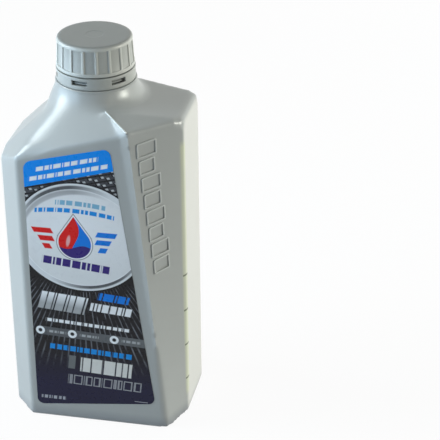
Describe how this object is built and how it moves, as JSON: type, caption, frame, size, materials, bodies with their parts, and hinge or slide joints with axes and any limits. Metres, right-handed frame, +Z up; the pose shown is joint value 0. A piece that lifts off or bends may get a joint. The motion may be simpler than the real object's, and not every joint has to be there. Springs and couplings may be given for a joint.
{
  "type": "motor oil bottle",
  "caption": "Grey blow-moulded one-litre oil bottle with a slanted grip side, a ribbed screw cap over a tamper band, and plain colour-field labels.",
  "frame": {"origin": "on the table under the middle of the body's footprint", "axes": "+Z up along the bottle, -Y out of the front label, +X towards the slanted grip side"},
  "size_m": [0.097, 0.0745, 0.2139],
  "materials": {
    "bottle_plastic": "satin silver-grey",
    "cap_plastic": "satin silver-grey",
    "liner_foam": "matte foam",
    "label_print": "glossy printed film",
    "oil": "clear liquid"
  },
  "bodies": {
    "bottle_body": {"bottle": "bottle_plastic", "tamper_band": "cap_plastic", "front_label": "label_print", "back_label": "label_print", "oil_fill": "oil"},
    "liner_body": {"cap_liner": "liner_foam"},
    "cap_body": {"screw_cap": "cap_plastic"}
  },
  "joints": [
    {"name": "cap_rise", "type": "slide", "parent": "bottle_body", "child": "liner_body", "axis": [0, 0, 1], "range_m": [0, 0.00735]},
    {"name": "cap_turn", "type": "hinge", "parent": "liner_body", "child": "cap_body", "pos_m": [-0.0013, 0, 0.2058], "axis": [0, 0, 1], "range_deg": [0, 630.1]}
  ],
  "couplings": [
    {"joint": "cap_turn", "follows": "cap_rise", "rad_per_m": 1496}
  ]
}
